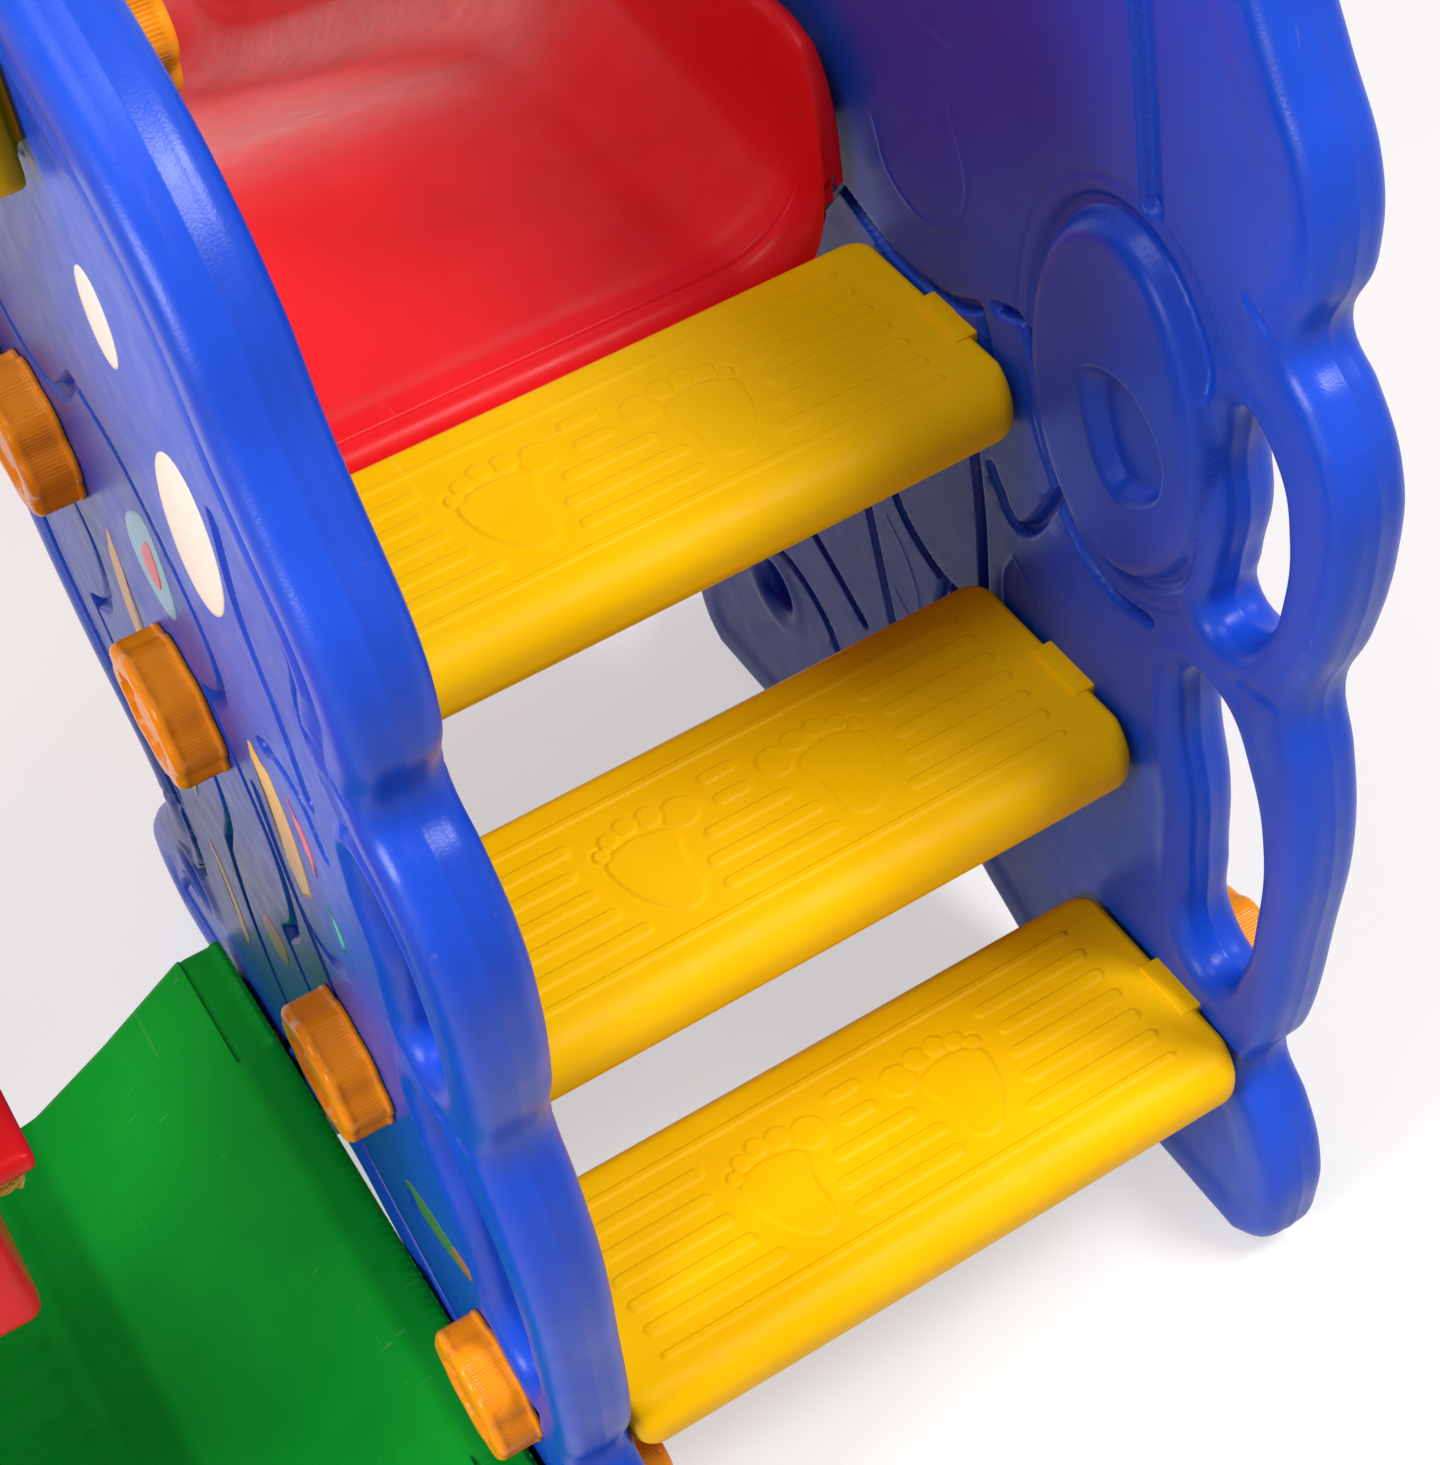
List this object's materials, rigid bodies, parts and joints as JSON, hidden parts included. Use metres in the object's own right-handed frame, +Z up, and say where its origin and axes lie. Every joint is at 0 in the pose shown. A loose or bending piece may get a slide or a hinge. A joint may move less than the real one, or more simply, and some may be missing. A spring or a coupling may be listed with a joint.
{
  "type": "climber slide swing set",
  "caption": "Toddler climber with treaded steps between two lobed side panels, an open slide, and a swing bay with a base plate and a roped bucket seat.",
  "frame": {"origin": "middle of the set's footprint on the floor", "axes": "+Z up, +Y from the steps towards the slide's end, +X from the swing bay towards the slide"},
  "size_m": [1.1346, 1.5162, 0.903],
  "materials": {
    "blue_plastic": "semi-gloss blow-moulded polyethylene, fine grain on the flats",
    "yellow_plastic": "semi-gloss blow-moulded polyethylene, relief treads",
    "orange_plastic": "glossy injection-moulded plastic, finely ribbed flanks",
    "red_plastic": "semi-gloss smooth polyethylene",
    "green_plastic": "satin polyethylene, lightly scuffed",
    "zinc_plated_steel": "bright zinc plating",
    "braided_rope": "braided polypropylene rope"
  },
  "bodies": {
    "frame": {"left_side_panel": "blue_plastic", "right_side_panel": "blue_plastic", "outer_support": "blue_plastic", "bottom_step": "yellow_plastic", "middle_step": "yellow_plastic", "top_step": "yellow_plastic", "swing_beam": "yellow_plastic", "slide": "red_plastic", "swing_base_plate": "green_plastic", "left_bottom_step_knob": "orange_plastic", "left_middle_step_knob": "orange_plastic", "left_top_step_knob": "orange_plastic", "right_bottom_step_knob": "orange_plastic", "right_middle_step_knob": "orange_plastic", "right_top_step_knob": "orange_plastic", "left_slide_rear_knob": "orange_plastic", "left_slide_front_knob": "orange_plastic", "right_slide_rear_knob": "orange_plastic", "right_slide_front_knob": "orange_plastic", "base_inner_rear_knob": "orange_plastic", "base_inner_front_knob": "orange_plastic", "base_outer_rear_knob": "orange_plastic", "base_outer_front_knob": "orange_plastic", "beam_inner_knob": "orange_plastic", "beam_outer_knob": "orange_plastic", "base_inner_rear_nut": "zinc_plated_steel", "base_inner_front_nut": "zinc_plated_steel", "base_outer_rear_nut": "zinc_plated_steel", "base_outer_front_nut": "zinc_plated_steel", "inner_eye_bolt": "zinc_plated_steel", "outer_eye_bolt": "zinc_plated_steel", "inner_eye_bolt_nut": "zinc_plated_steel", "outer_eye_bolt_nut": "zinc_plated_steel"},
    "swing": {"inner_shackle": "zinc_plated_steel", "outer_shackle": "zinc_plated_steel", "inner_shackle_pin": "zinc_plated_steel", "outer_shackle_pin": "zinc_plated_steel", "inner_rope_spreader": "red_plastic", "outer_rope_spreader": "red_plastic", "inner_front_rope": "braided_rope", "inner_rear_rope": "braided_rope", "outer_front_rope": "braided_rope", "outer_rear_rope": "braided_rope", "bucket_seat": "red_plastic"},
    "guard": {"guard_bar": "yellow_plastic"}
  },
  "joints": [
    {"name": "swing_hinge", "type": "hinge", "parent": "frame", "child": "swing", "pos_m": [-0.198, -0.50536, 0.7573], "axis": [1, 0, 0], "range_deg": [-40, 40]},
    {"name": "guard_slide", "type": "slide", "parent": "swing", "child": "guard", "axis": [0, -0.2747, 0.9615], "range_m": [0, 0.15]}
  ]
}
